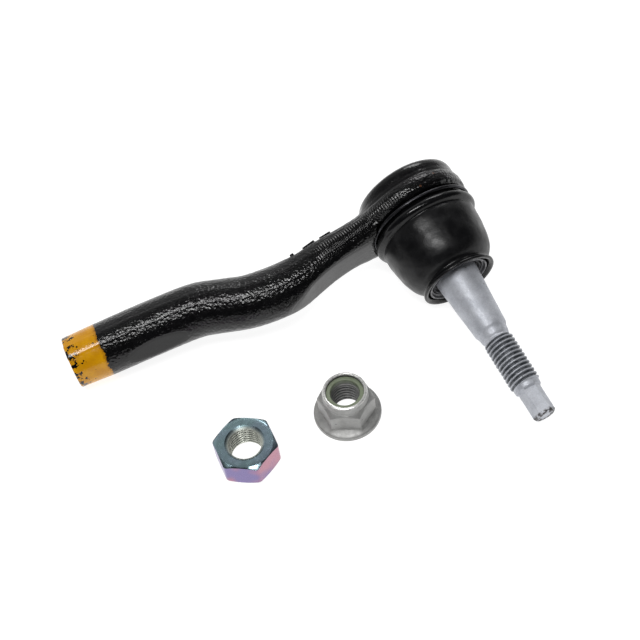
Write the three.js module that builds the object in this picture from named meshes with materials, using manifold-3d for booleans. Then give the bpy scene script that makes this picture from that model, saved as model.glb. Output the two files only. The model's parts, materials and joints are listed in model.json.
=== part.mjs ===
// Outer tie rod end lying on a bench, with the two loose nuts that come with it.
//
// The tie rod end is drawn in its own frame: the ball's centre is the origin, +Z runs out along the
// ball stud and +X runs towards the threaded arm. It is then laid on the bench on its three lowest
// points. The bench is z = 0, the arm's threaded end points along -X, and the origin is the middle of
// the whole set's footprint. Units are millimetres.

import * as THREE from "three";
import { mergeVertices } from "three/addons/utils/BufferGeometryUtils.js";
import Module from "manifold-3d";

const wasm = await Module();
wasm.setup();

const GAP = 0.3; // between pieces that touch on the real part
const ROUND = 36; // facets round a large turned piece
const SMALL_ROUND = 24; // facets round a small one

// Ball and socket
const BALL_R = 12;
const SEAT_R = BALL_R + GAP;
const BORE_R = 15.2;
const MOUTH_Z = 5.8;
const MOUTH_R = 12.75;
const MOUTH_FLANGE_R = 19.2;
const BOOT_GROOVE_R = 18.2;
const GROOVE_Z = -5.1;
const GROOVE_TOP_Z = 2;
const SOCKET_R = 21.6;
const RIM_Z = -19.4;
const RIM_R = 18.6;
const COUNTERBORE_R = 18;
const SHOULDER_Z = -14.4;
const PLATE_TOP_Z = -16.3;
const PLATE_THICKNESS = 2;
const ROLLED_LIP_R = 15.8;

// Ball stud
const NECK_R = 6.6;
const TAPER_Z = 23;
const TAPER_BIG_R = 8.85;
const TAPER_END_Z = 50.7;
const TAPER_SMALL_R = 6.6;
const STUD_THREAD_Z = 55.4;
const STUD_THREAD_END_Z = 76.8;
const STUD_THREAD = { major: 6, minor: 5.05, pitch: 1.75 };
const HEX_Z = 78.6;
const HEX_ACROSS_FLATS = 8;
const TIP_Z = 90.7;

// Dust boot
const BEAD_R = 22;
const BEAD_Z = 0.2;
const BOOT_WALL = 2;
const LIP_Z = 27;
const LIP_R = 15.4;
const CLAMP_GROOVE_R = 19.8;
const CLAMP_WIRE_R = 0.8;

// Arm: centreline height and half sizes at distances from the ball
const ARM_LENGTH = 147.7;
const ARM_END_R = 10.1;
const ARM_BORE_R = 6.2;
const ARM_BORE_DEPTH = 46;
const COUNTERSINK_R = 7.6;
const ARM_STATIONS = [
  { x: 4, z: -8.4, half: 8.4, tall: 15.5 },
  { x: 16, z: -8.4, half: 8.3, tall: 14.6 },
  { x: 24, z: -8.1, half: 8.1, tall: 12.4 },
  { x: 32, z: -7.9, half: 8, tall: 10.8 },
  { x: 42, z: -7.1, half: 8.9, tall: 10.2 },
  { x: 51, z: -5.6, half: 9.8, tall: 10.2 },
  { x: 59, z: -4.9, half: 10.4, tall: 10.3 },
  { x: 68, z: -5.6, half: 10.6, tall: 10.4 },
  { x: 77, z: -7.5, half: 10.6, tall: 10.5 },
  { x: 86, z: -11, half: 10.7, tall: 10.6 },
  { x: 94, z: -13.9, half: 10.8, tall: 10.8 },
  { x: 102, z: -15.2, half: 10.8, tall: 10.8 },
  { x: 120, z: -16.8, half: 10.8, tall: 10.8 },
  { x: 136, z: -18.1, half: 10.7, tall: 10.7 },
];
const ARM_END_Z = -19.1;

// Jam nut for the arm's thread, and flanged lock nut for the stud
const JAM_NUT = { acrossFlats: 22, height: 11, major: 7, minor: 6.2, pitch: 1.5 };
const LOCK_NUT = { acrossFlats: 19, height: 12.6, major: 6, minor: 5.15, pitch: 1.75 };
const FLANGE_R = 13;
const FLANGE_THICKNESS = 2.6;
const COLLAR_R = 8.7;
const COLLAR_HEIGHT = 15.4;
const NYLON_R = 7.2;
const NYLON_BORE_R = 5.7;
const NYLON_THICKNESS = 2.4;

// Where each loose nut lies on the bench, from below the ball's centre
const JAM_NUT_AT = [-98.4, -56.6];
const LOCK_NUT_AT = [-56.8, -53.7];
const NUT_TURN = { jam: 0.03, lock: 0.12 };

// A closed, outward-facing solid from a three.js geometry.
function closedMesh(geometry) {
  const bare = geometry.clone();
  bare.deleteAttribute("normal");
  bare.deleteAttribute("uv");
  const merged = mergeVertices(bare, 1e-4);
  const position = merged.attributes.position;
  const corner = [0, 1, 2].map(() => new THREE.Vector3());
  const kept = [];
  let volume = 0;
  for (let i = 0; i < merged.index.count; i += 3) {
    const face = [0, 1, 2].map((k) => merged.index.getX(i + k));
    const flat = face[0] === face[1] || face[1] === face[2] || face[2] === face[0];
    if (flat) continue;
    face.forEach((vertex, k) => corner[k].fromBufferAttribute(position, vertex));
    volume += corner[0].dot(corner[1].clone().cross(corner[2]));
    kept.push(face);
  }
  const outward = kept.map(([a, b, c]) => (volume > 0 ? [a, b, c] : [a, c, b]));
  return { vertices: Float32Array.from(position.array), faces: Uint32Array.from(outward.flat()) };
}

function toSolid(geometry) {
  const { vertices, faces } = closedMesh(geometry);
  return new wasm.Manifold(new wasm.Mesh({ numProp: 3, vertProperties: vertices, triVerts: faces }));
}

function toGeometry(solid) {
  const mesh = solid.getMesh();
  const geometry = new THREE.BufferGeometry();
  geometry.setAttribute("position", new THREE.BufferAttribute(mesh.vertProperties, 3));
  geometry.setIndex(new THREE.BufferAttribute(mesh.triVerts, 1));
  geometry.computeVertexNormals();
  return geometry;
}

// A solid turned about Z from [radius, z] points; a ring's profile closes on itself.
function turned(profile, facets = ROUND) {
  const points = profile.map(([radius, z]) => new THREE.Vector2(radius, z));
  return toSolid(new THREE.LatheGeometry(points, facets).rotateX(Math.PI / 2));
}

function ringProfile(profile) {
  return [...profile, profile[0]];
}

// Points on an arc about (centreR, centreZ), angles in degrees from the +radius direction.
function arc(centreR, centreZ, radius, from, to, steps) {
  return Array.from({ length: steps + 1 }, (_, i) => {
    const angle = THREE.MathUtils.degToRad(from + ((to - from) * i) / steps);
    return [centreR + radius * Math.cos(angle), centreZ + radius * Math.sin(angle)];
  });
}

// The zigzag of a thread's crests and roots from one height to another.
function threadProfile({ major, minor, pitch }, from, to) {
  const turns = Math.floor((to - from) / pitch);
  const points = [];
  for (let i = 0; i < turns; i += 1) {
    const z = from + i * pitch;
    points.push([minor, z], [major, z + pitch / 2]);
  }
  points.push([minor, from + turns * pitch]);
  return points;
}

function hexPrism(acrossFlats, bottom, top) {
  const cornerR = acrossFlats / Math.sqrt(3);
  const prism = new THREE.CylinderGeometry(cornerR, cornerR, top - bottom, 6);
  return toSolid(prism.rotateX(Math.PI / 2).translate(0, 0, (top + bottom) / 2));
}

// Forged arm and socket --------------------------------------------------------------------------

function smoothValue(key, x) {
  const last = ARM_STATIONS.length - 1;
  const next = Math.max(1, ARM_STATIONS.findIndex((station) => station.x >= x));
  const at = (i) => ARM_STATIONS[THREE.MathUtils.clamp(i, 0, last)];
  const [a, b] = [at(next - 1), at(next)];
  const span = b.x - a.x;
  const slope = (i) => (at(i + 1)[key] - at(i - 1)[key]) / (at(i + 1).x - at(i - 1).x);
  const t = (x - a.x) / span;
  const start = slope(next - 1) * span;
  const finish = slope(next) * span;
  const hermite = [2 * t ** 3 - 3 * t ** 2 + 1, t ** 3 - 2 * t ** 2 + t, 3 * t ** 2 - 2 * t ** 3, t ** 3 - t ** 2];
  return hermite[0] * a[key] + hermite[1] * start + hermite[2] * b[key] + hermite[3] * finish;
}

const lastStation = ARM_STATIONS[ARM_STATIONS.length - 1];
const armEnd = new THREE.Vector3(ARM_LENGTH, 0, ARM_END_Z);
const armDirection = new THREE.Vector3(ARM_LENGTH - lastStation.x, 0, ARM_END_Z - lastStation.z).normalize();

function armPlace(x) {
  return new THREE.Vector3(x, 0, smoothValue("z", x));
}

// The arm is a cylinder whose rings are moved to sections along the bent centreline.
function armSolid() {
  const firstX = ARM_STATIONS[0].x;
  const bentRings = 26;
  const sections = [];
  for (let i = 0; i <= bentRings; i += 1) {
    const x = firstX + ((lastStation.x - firstX) * i) / bentRings;
    const ahead = armPlace(Math.min(x + 0.5, lastStation.x));
    const behind = armPlace(Math.max(x - 0.5, firstX));
    const along = ahead.sub(behind).normalize();
    sections.push({ centre: armPlace(x), along, half: smoothValue("half", x), tall: smoothValue("tall", x) });
  }
  const chamfer = 0.8;
  const shoulder = armEnd.clone().addScaledVector(armDirection, -chamfer);
  sections.push({ centre: shoulder, along: armDirection, half: ARM_END_R, tall: ARM_END_R });
  sections.push({ centre: armEnd, along: armDirection, half: ARM_END_R - chamfer, tall: ARM_END_R - chamfer });

  const geometry = new THREE.CylinderGeometry(1, 1, 1, SMALL_ROUND, sections.length - 1);
  const position = geometry.attributes.position;
  for (let i = 0; i < position.count; i += 1) {
    const row = Math.round((position.getY(i) + 0.5) * (sections.length - 1));
    const { centre, along, half, tall } = sections[row];
    const side = new THREE.Vector3(-along.z, 0, along.x);
    const point = centre.clone().addScaledVector(side, half * position.getX(i));
    point.y += tall * position.getZ(i);
    position.setXYZ(i, point.x, point.y, point.z);
  }
  return toSolid(geometry);
}

function socketOutside() {
  return turned([
    [0, MOUTH_Z],
    [17, MOUTH_Z],
    [MOUTH_FLANGE_R, GROOVE_TOP_Z + 1.2],
    [MOUTH_FLANGE_R, GROOVE_TOP_Z + 0.2],
    [BOOT_GROOVE_R, GROOVE_TOP_Z],
    [BOOT_GROOVE_R, GROOVE_Z],
    [SOCKET_R, GROOVE_Z - 0.4],
    [SOCKET_R + 0.2, -8],
    [SOCKET_R - 0.2, -11.2],
    [20.9, -11.9],
    [20.8, -16.6],
    [RIM_R, RIM_Z],
    [0, RIM_Z],
  ]);
}

// Everything cut out of the socket: mouth, ball bore, counterbore and the rolled rim's opening.
function socketInside() {
  return turned([
    [0, MOUTH_Z + 1],
    [MOUTH_R, MOUTH_Z + 1],
    [MOUTH_R, MOUTH_Z],
    [BORE_R, 2.8],
    [BORE_R, SHOULDER_Z],
    [COUNTERBORE_R, SHOULDER_Z],
    [COUNTERBORE_R, PLATE_TOP_Z - PLATE_THICKNESS - GAP],
    [ROLLED_LIP_R, PLATE_TOP_Z - PLATE_THICKNESS - GAP],
    [ROLLED_LIP_R, RIM_Z - 1],
    [0, RIM_Z - 1],
  ]);
}

function armBore() {
  const depth = ARM_BORE_DEPTH;
  const flare = COUNTERSINK_R - ARM_BORE_R;
  const profile = [
    [0, -depth - 3.5],
    [ARM_BORE_R, -depth],
    [ARM_BORE_R, -flare],
    [COUNTERSINK_R, 0],
    [COUNTERSINK_R, 1],
    [0, 1],
  ];
  const points = profile.map(([radius, z]) => new THREE.Vector2(radius, z));
  const turn = new THREE.Quaternion().setFromUnitVectors(new THREE.Vector3(0, 1, 0), armDirection);
  const geometry = new THREE.LatheGeometry(points, SMALL_ROUND).applyQuaternion(turn);
  return toSolid(geometry.translate(armEnd.x, armEnd.y, armEnd.z));
}

// The turned relief in the arm's root that leaves room for the boot's bead.
function beadRelief() {
  const radius = BEAD_R + 0.9;
  const floor = GROOVE_Z;
  return turned([[0, floor], [radius - 0.4, floor], [radius, floor + 0.4], [radius, BEAD_R], [0, BEAD_R]]);
}

function forgedHousing() {
  const arm = armSolid().subtract(beadRelief());
  return arm.add(socketOutside()).subtract(socketInside()).subtract(armBore());
}

// Pieces in the socket ---------------------------------------------------------------------------

function upperBearing() {
  const outer = BORE_R - GAP;
  const seat = arc(0, 0, SEAT_R, 27, 2, 5);
  return turned(ringProfile([...seat, [outer, seat[5][1]], [outer, 2.6], [12.4, 5.6], [seat[0][0], 5.6]]));
}

function pressureCup() {
  const outer = BORE_R - GAP;
  const seat = arc(0, 0, SEAT_R, -2, -90, 10).map(([radius, z]) => [Math.max(radius, 0), z]);
  return turned([...seat, [0, -14.1], [11, -14.1], [outer, -11], [outer, seat[0][1]], seat[0]]);
}

function preloadSpring() {
  const thickness = 0.8;
  return turned(ringProfile([[6.5, -14.4], [12.4, -15.2], [12.4, -15.2 - thickness], [6.5, -14.4 - thickness]]));
}

function closurePlate() {
  const bottom = PLATE_TOP_Z - PLATE_THICKNESS;
  const edge = COUNTERBORE_R - GAP;
  const dish = 0.7;
  return turned([
    [0, PLATE_TOP_Z],
    [edge, PLATE_TOP_Z],
    [edge, bottom],
    [13, bottom],
    [11.6, bottom + dish],
    [0, bottom + dish],
  ]);
}

function closureSeal() {
  const section = 0.65;
  return turned(ringProfile(arc(16.6, (SHOULDER_Z + PLATE_TOP_Z) / 2, section, 0, 300, 5)));
}

// Ball stud --------------------------------------------------------------------------------------

function ballStud() {
  const neckAngle = THREE.MathUtils.radToDeg(Math.acos(NECK_R / BALL_R));
  const ball = arc(0, 0, BALL_R, -90, neckAngle, 12).map(([radius, z]) => [Math.max(radius, 0), z]);
  const round = turned([
    ...ball,
    [NECK_R, 11.5],
    [7.2, 14],
    [TAPER_BIG_R - 0.3, 18],
    [TAPER_BIG_R, 20],
    [TAPER_BIG_R, TAPER_Z],
    [TAPER_SMALL_R, TAPER_END_Z],
    [5.75, TAPER_END_Z + 2.2],
    [5.1, TAPER_END_Z + 3],
    ...threadProfile(STUD_THREAD, STUD_THREAD_Z, STUD_THREAD_END_Z),
    [5.3, STUD_THREAD_END_Z + 0.8],
    [4.7, STUD_THREAD_END_Z + 5],
    [4.7, TIP_Z - 0.7],
    [4, TIP_Z],
    [0, TIP_Z],
  ]);
  const belowHex = turned([[0, -BALL_R - 1], [BALL_R + 1, -BALL_R - 1], [BALL_R + 1, HEX_Z], [0, HEX_Z]]);
  const hexZone = hexPrism(HEX_ACROSS_FLATS, HEX_Z - 1, TIP_Z + 1);
  return round.intersect(belowHex.add(hexZone));
}

// Dust boot and its rings ------------------------------------------------------------------------

function dustBoot() {
  const lipBore = TAPER_BIG_R + GAP;
  const outside = [
    [19.3, GROOVE_Z + 0.1],
    [CLAMP_GROOVE_R, GROOVE_Z + 0.4],
    [CLAMP_GROOVE_R, BEAD_Z - 2.4],
    [BEAD_R - 0.7, BEAD_Z - 2.1],
    ...arc(BEAD_R - 1.6, BEAD_Z, 1.6, -50, 50, 4),
    [20.2, 3],
    [20, 7],
    [19.6, 12],
    [18.8, 16.5],
    [17.5, 20.2],
    [15.8, 22.7],
    [14.3, 24],
    [14, 24.8],
    [LIP_R, 26],
    [LIP_R, LIP_Z],
    [14.2, LIP_Z],
  ];
  const inside = [
    [13.2, LIP_Z - 1],
    [12.9, 23.8],
    [lipBore + 0.8, 23.8],
    [lipBore, 23],
    [lipBore, 21],
    [lipBore + 1.6, 20.2],
    [14.2, 19.4],
    [16, 17.2],
    [17, 14.5],
    [19.7 - BOOT_WALL, 11],
    [20.1 - BOOT_WALL, 7],
    [18.4, 4.8],
    [MOUTH_FLANGE_R + GAP, GROOVE_TOP_Z + 1.6],
    [MOUTH_FLANGE_R + GAP, GROOVE_TOP_Z - 0.1],
    [BOOT_GROOVE_R + GAP, GROOVE_TOP_Z - 0.4],
    [BOOT_GROOVE_R + GAP, GROOVE_Z + 0.3],
  ];
  return turned(ringProfile([...outside, ...inside]));
}

function bootClampRing() {
  const seatR = CLAMP_GROOVE_R + GAP + CLAMP_WIRE_R;
  return turned(ringProfile(arc(seatR, BEAD_Z - 3.6, CLAMP_WIRE_R, 0, 300, 5)));
}

function bootLipInsert() {
  const bore = 11;
  return turned(ringProfile([[bore, 24.1], [12.3, 24.1], [12.6, 25.3], [12.6, 26.2], [11.9, 26.2], [11.6, 25], [bore, 25]]));
}

function bootGarterSpring() {
  return turned(ringProfile(arc(10.1, 24.7, 0.55, 0, 300, 5)));
}

// Loose nuts -------------------------------------------------------------------------------------

function nutBore({ major, minor, pitch }, height, countersink) {
  const flare = countersink - minor;
  return turned([
    [0, -1],
    [countersink, -1],
    [countersink, 0],
    ...threadProfile({ major, minor, pitch }, flare, height - flare),
    [minor, height - flare],
    [countersink, height],
    [countersink, height + 1],
    [0, height + 1],
  ], SMALL_ROUND);
}

function jamNut() {
  const { acrossFlats, height } = JAM_NUT;
  const cornerR = acrossFlats / Math.sqrt(3);
  const bevel = 1.1;
  const faceR = acrossFlats / 2 - 0.4;
  const envelope = turned([
    [0, 0],
    [faceR, 0],
    [cornerR + 0.4, bevel],
    [cornerR + 0.4, height - bevel],
    [faceR, height],
    [0, height],
  ]);
  return hexPrism(acrossFlats, -1, height + 1).intersect(envelope).subtract(nutBore(JAM_NUT, height, 7.55));
}

function lockNut() {
  const { acrossFlats, height } = LOCK_NUT;
  const cornerR = acrossFlats / Math.sqrt(3);
  const hexTop = height - 0.6;
  const envelope = turned([
    [0, 0],
    [cornerR + 0.3, 0],
    [cornerR + 0.3, hexTop - 1.3],
    [COLLAR_R + 0.5, hexTop],
    [COLLAR_R, hexTop + 0.3],
    [COLLAR_R - 0.1, COLLAR_HEIGHT - 0.8],
    [COLLAR_R - 0.8, COLLAR_HEIGHT],
    [0, COLLAR_HEIGHT],
  ]);
  const flange = turned([
    [0, 0],
    [FLANGE_R - 0.3, 0],
    [FLANGE_R, 0.4],
    [FLANGE_R, 1.5],
    [FLANGE_R - 0.6, 2.1],
    [cornerR - 0.6, FLANGE_THICKNESS + 0.8],
    [0, FLANGE_THICKNESS + 0.8],
  ]);
  const hex = hexPrism(acrossFlats, 0.5, hexTop + 0.2);
  const collar = turned([[0, 1], [COLLAR_R, 1], [COLLAR_R, COLLAR_HEIGHT], [0, COLLAR_HEIGHT]]);
  const insertPocket = turned([
    [0, height - GAP],
    [NYLON_R + GAP, height - GAP],
    [NYLON_R + GAP, COLLAR_HEIGHT - 0.6],
    [NYLON_R, COLLAR_HEIGHT + 1],
    [0, COLLAR_HEIGHT + 1],
  ], SMALL_ROUND);
  const thread = nutBore(LOCK_NUT, height, 6.6);
  return hex.add(collar).intersect(envelope).add(flange).subtract(thread).subtract(insertPocket);
}

function nylonInsert() {
  const bottom = LOCK_NUT.height;
  const top = bottom + NYLON_THICKNESS - 0.4;
  return turned(
    ringProfile([[NYLON_BORE_R, bottom], [NYLON_R, bottom], [NYLON_R, top - 0.6], [NYLON_R - 0.7, top], [NYLON_BORE_R, top]]),
    SMALL_ROUND,
  );
}

// Lying on the bench -----------------------------------------------------------------------------

// The downward direction, in the tie rod's frame, when it lies on its boot bead, stud tip and arm end.
function restingDown() {
  const alongStud = new THREE.Vector3(0, 0, 1);
  const rims = [
    { centre: new THREE.Vector3(0, 0, BEAD_Z), axis: alongStud, radius: BEAD_R },
    { centre: new THREE.Vector3(0, 0, TIP_Z - 0.7), axis: alongStud, radius: HEX_ACROSS_FLATS / 2 + 0.4 },
    { centre: armEnd, axis: armDirection, radius: ARM_END_R },
  ];
  const down = new THREE.Vector3(0, 1, 0);
  for (let pass = 0; pass < 12; pass += 1) {
    const lowest = rims.map(({ centre, axis, radius }) => {
      const outward = down.clone().addScaledVector(axis, -down.dot(axis)).normalize();
      return centre.clone().addScaledVector(outward, radius);
    });
    const edges = [lowest[1].clone().sub(lowest[0]), lowest[2].clone().sub(lowest[0])];
    const normal = edges[0].cross(edges[1]).normalize();
    down.copy(normal.dot(down) > 0 ? normal : normal.negate());
  }
  return down;
}

function benchRotation() {
  const up = restingDown().negate();
  const forward = armDirection.clone().negate();
  forward.addScaledVector(up, -forward.dot(up)).normalize();
  const left = up.clone().cross(forward);
  const toLocal = new THREE.Matrix4().makeBasis(forward, left, up);
  return new THREE.Quaternion().setFromRotationMatrix(toLocal.transpose());
}

const FINISHES = {
  forging: { color: 0x17171a, roughness: 0.35, metalness: 0.2 },
  rubber: { color: 0x1c1c1e, roughness: 0.5, metalness: 0 },
  zincFlake: { color: 0xa4a9ad, roughness: 0.5, metalness: 0.8 },
  polymer: { color: 0xd9d6c8, roughness: 0.5, metalness: 0 },
  springSteel: { color: 0x55585c, roughness: 0.4, metalness: 0.9 },
  platedSteel: { color: 0x8b8f93, roughness: 0.45, metalness: 0.9 },
  blackSteel: { color: 0x1f2022, roughness: 0.4, metalness: 0.6 },
  blueZinc: { color: 0x7f95a3, roughness: 0.2, metalness: 1 },
  nylon: { color: 0x6c7350, roughness: 0.5, metalness: 0 },
};

function piece(name, solid, finish) {
  const mesh = new THREE.Mesh(toGeometry(solid), new THREE.MeshStandardMaterial(FINISHES[finish]));
  mesh.name = name;
  return mesh;
}

const tieRodEnd = new THREE.Group();
tieRodEnd.add(
  piece("forged_housing", forgedHousing(), "forging"),
  piece("ball_stud", ballStud(), "zincFlake"),
  piece("upper_bearing", upperBearing(), "polymer"),
  piece("pressure_cup", pressureCup(), "polymer"),
  piece("preload_spring", preloadSpring(), "springSteel"),
  piece("closure_plate", closurePlate(), "platedSteel"),
  piece("closure_seal", closureSeal(), "rubber"),
  piece("dust_boot", dustBoot(), "rubber"),
  piece("boot_clamp_ring", bootClampRing(), "blackSteel"),
  piece("boot_lip_insert", bootLipInsert(), "blackSteel"),
  piece("boot_garter_spring", bootGarterSpring(), "springSteel"),
);
tieRodEnd.quaternion.copy(benchRotation());

const looseJamNut = new THREE.Group();
looseJamNut.add(piece("jam_nut", jamNut(), "blueZinc"));
looseJamNut.rotation.z = NUT_TURN.jam;
looseJamNut.position.set(...JAM_NUT_AT, 0);

const looseLockNut = new THREE.Group();
looseLockNut.add(piece("flange_nut", lockNut(), "zincFlake"));
looseLockNut.add(piece("nylon_insert", nylonInsert(), "nylon"));
looseLockNut.rotation.z = NUT_TURN.lock;
looseLockNut.position.set(...LOCK_NUT_AT, 0);

// Stand everything on z = 0, then move the middle of the footprint to the origin.
const set = new THREE.Group();
set.add(tieRodEnd, looseJamNut, looseLockNut);
set.updateMatrixWorld(true);
tieRodEnd.position.z = -new THREE.Box3().setFromObject(tieRodEnd, true).min.z;
set.updateMatrixWorld(true);
const footprint = new THREE.Box3().setFromObject(set, true).getCenter(new THREE.Vector3());
set.position.set(-footprint.x, -footprint.y, 0);
set.updateMatrixWorld(true);

export default set;
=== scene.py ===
"""The looks of an outer tie rod end lying on a white bench beside its two loose nuts.

Each piece is drawn in millimetres in a frame of its own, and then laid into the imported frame. In the
tie rod end's frame the ball's centre is the origin, +Z runs out along the ball stud and +X runs
towards the threaded arm. A nut's frame stands on the bench, with +X through a corner of its hexagon.
"""

import json
import math

import bmesh
import bpy
import numpy as np
from mathutils import Matrix, Vector


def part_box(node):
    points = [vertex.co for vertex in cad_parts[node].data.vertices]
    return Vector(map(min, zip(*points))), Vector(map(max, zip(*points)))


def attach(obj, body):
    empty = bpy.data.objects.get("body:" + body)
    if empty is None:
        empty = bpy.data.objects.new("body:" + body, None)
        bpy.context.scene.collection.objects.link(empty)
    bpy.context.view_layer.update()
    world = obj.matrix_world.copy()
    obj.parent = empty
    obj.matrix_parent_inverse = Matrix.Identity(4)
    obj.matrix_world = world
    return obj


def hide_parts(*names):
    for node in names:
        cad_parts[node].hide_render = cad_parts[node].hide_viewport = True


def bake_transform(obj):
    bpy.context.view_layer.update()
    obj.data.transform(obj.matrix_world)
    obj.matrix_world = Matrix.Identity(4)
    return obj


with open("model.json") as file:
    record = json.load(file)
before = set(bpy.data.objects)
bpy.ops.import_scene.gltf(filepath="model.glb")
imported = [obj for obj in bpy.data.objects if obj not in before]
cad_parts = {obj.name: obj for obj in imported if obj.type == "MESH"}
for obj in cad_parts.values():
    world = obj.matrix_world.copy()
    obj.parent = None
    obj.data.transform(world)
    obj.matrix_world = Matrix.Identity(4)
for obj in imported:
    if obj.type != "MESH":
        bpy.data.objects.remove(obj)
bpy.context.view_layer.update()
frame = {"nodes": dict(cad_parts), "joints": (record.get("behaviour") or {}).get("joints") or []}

MM = 0.001
TURN = math.tau

# Socket, in the tie rod end's frame
MOUTH_Z = 5.8
MOUTH_R = 12.75
MOUTH_FLANGE_R = 19.2
BORE_R = 15.2
GROOVE_R = 18.2
GROOVE_Z = -5.1
SOCKET_R = 21.6
RIM_Z = -19.4
RIM_R = 18.6
COUNTERBORE_R = 18
SHOULDER_Z = -14.4
PLATE_TOP_Z = -16.3
PLATE_BOTTOM_Z = -18.3
ROLLED_LIP_R = 15.8
PARTING_Z = -8.4  # where the two halves of the forging meet on the socket

# Arm: distance from the ball, centreline height, half thickness of its round in the bend plane, half
# width across the bend plane, and half thickness between its drafted flats
ARM_STATIONS = [
    (4, -8.4, 8.4, 15.5, 6.6),
    (16, -8.4, 8.3, 14.6, 6.4),
    (24, -8.1, 8.2, 12.4, 6.3),
    (32, -7.9, 8.4, 10.9, 6.2),
    (42, -7.1, 9.6, 10.2, 6.7),
    (51, -5.6, 10.3, 10.2, 7.5),
    (59, -4.9, 10.5, 10.3, 9.7),
    (68, -5.6, 10.6, 10.4, 12),
    (77, -7.5, 10.6, 10.5, 12),
    (86, -11, 10.7, 10.6, 12),
    (94, -13.9, 10.8, 10.8, 12),
    (102, -15.2, 10.8, 10.8, 12),
    (120, -16.8, 10.8, 10.8, 12),
    (136, -18.1, 10.7, 10.7, 12),
]
ARM_END = np.array([147.7, 0, -19.1])
ARM_END_R = 10.1
ARM_BORE_R = 6.2
ARM_BORE_DEPTH = 46
COUNTERSINK_R = 7.6
ARM_THREAD = {"major": 7.0, "minor": ARM_BORE_R, "pitch": 1.5}
PAINTED_LENGTH = 13.5  # of the yellow band at the arm's end
RIDGE_SPACING = 1.05  # of the ridges that trimming the flash left
SKIN_VOXEL = 0.43  # mesh size of the forging
STRAY_LIMIT = 2.5  # how far a point may move as the forging's blank settles onto its true surface

# Ball stud
BALL_R = 12
NECK_R = 6.6
TAPER_Z = 23
TAPER_BIG_R = 8.85
TAPER_END_Z = 50.7
TAPER_SMALL_R = 6.6
STUD_THREAD_Z = 55.2
STUD_THREAD_END_Z = 77
STUD_THREAD = {"major": 6.0, "minor": 5.05, "pitch": 1.75}
HEX_Z = 78.6
STUD_HEX_ACROSS = 8
TIP_Z = 90.7

# Dust boot
BEAD_R = 22
BEAD_Z = 0.2
LIP_Z = 27
LIP_R = 15.4
BOOT_SPLIT_Z = 11.2  # the boot is cut here into a bell below and a neck above
CLAMP_GROOVE_R = 19.8
CLAMP_RING_R = 20.9
CLAMP_Z = BEAD_Z - 3.6
CLAMP_WIRE_R = 0.78

# Loose nuts
JAM_ACROSS = 22
JAM_HEIGHT = 11
JAM_THREAD = {"major": 7.0, "minor": 6.2, "pitch": 1.5}
LOCK_ACROSS = 19
LOCK_HEIGHT = 12.6
LOCK_THREAD = {"major": 6.0, "minor": 5.15, "pitch": 1.75}
FLANGE_R = 13
COLLAR_R = 8.7
COLLAR_HEIGHT = 15.4
NYLON_R = 7.2
NYLON_BORE_R = 5.5
NYLON_SEAT_Z = 11.8
NUT_COLUMNS = 240
THREAD_ROWS = 14  # rings of points for each turn of a thread


# Frames ------------

joints = {joint["name"]: joint for joint in frame["joints"]}


def rod_frame():
    """Where the tie rod end lies, read from the axes of its ball joint."""
    place = Matrix.Identity(4)
    for column, name in enumerate(["stud_swing_across_arm", "stud_swing_along_arm", "stud_spin"]):
        place.col[column] = (*Vector(joints[name]["axis"]).normalized(), 0)
    place.translation = joints["stud_spin"]["pos_m"]
    return place


def nut_frame(node):
    """Where a loose nut stands, turned so that +X runs through a corner of its hexagon."""
    low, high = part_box(node)
    centre = (low + high) / 2
    points = np.array([vertex.co for vertex in frame["nodes"][node].data.vertices])
    points -= np.array([centre.x, centre.y, low.z])
    upper = points[points[:, 2] > 4.5 * MM]  # above a flange
    radius = np.hypot(upper[:, 0], upper[:, 1])
    corners = upper[radius > 0.985 * radius.max()]
    angle = np.arctan2(corners[:, 1], corners[:, 0])
    turn = math.atan2(np.sin(6 * angle).sum(), np.cos(6 * angle).sum()) / 6
    return Matrix.Translation((centre.x, centre.y, low.z)) @ Matrix.Rotation(turn, 4, "Z")


ROD = rod_frame()
JAM = nut_frame("jam_nut")
LOCK = nut_frame("flange_nut")


# Mesh helpers ------------

def lattice_value(cell, seed):
    """The same number from -1 to 1 each time for a cell of the noise lattice."""
    key = cell[:, 0] * 73856093 ^ cell[:, 1] * 19349663 ^ cell[:, 2] * 83492791 ^ seed * 2654435761
    key = (key ^ (key >> 13)) * 1274126177 & 0xFFFFFFFF
    key = (key ^ (key >> 15)) * 2246822519 & 0xFFFFFFFF
    return (key & 0xFFFF) / 32767.5 - 1


def noise(points, size, seed):
    """Smooth lumps about size mm across, from -1 to 1."""
    scaled = points / size + seed * 0.37
    cell = np.floor(scaled).astype(np.int64)
    part = scaled - cell
    part = part * part * (3 - 2 * part)
    total = np.zeros(len(points))
    for corner in np.ndindex(2, 2, 2):
        weight = np.prod(np.where(corner, part, 1 - part), axis=1)
        total += weight * lattice_value(cell + np.array(corner), seed)
    return total


def step_up(value, start, end):
    """0 before start, 1 after end, and smooth between them."""
    t = np.clip((value - start) / (end - start), 0, 1)
    return t * t * (3 - 2 * t)


def eased(corners, radius, step=0.8, closed=True):
    """A profile whose corners are rounded over radius and whose long sides are divided at step."""
    corners = [np.array(corner, float) for corner in corners]
    points = []
    for i, corner in enumerate(corners):
        before, after = corners[i - 1] - corner, corners[(i + 1) % len(corners)] - corner
        at_end = not closed and i in (0, len(corners) - 1)
        reach = min(radius, 0.45 * np.linalg.norm(before), 0.45 * np.linalg.norm(after))
        if at_end or reach < 1e-3:
            points.append(corner)
            continue
        start = corner + before / np.linalg.norm(before) * reach
        end = corner + after / np.linalg.norm(after) * reach
        for t in np.linspace(0, 1, 5):
            points.append((1 - t) ** 2 * start + 2 * t * (1 - t) * corner + t * t * end)
    divided = []
    following = points[1:] + points[:1] if closed else points[1:]
    for here, there in zip(points, following):
        count = max(1, math.ceil(np.linalg.norm(there - here) / step))
        divided += [here + (there - here) * k / count for k in range(count)]
    if not closed:
        divided.append(points[-1])
    return np.array(divided)


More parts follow.
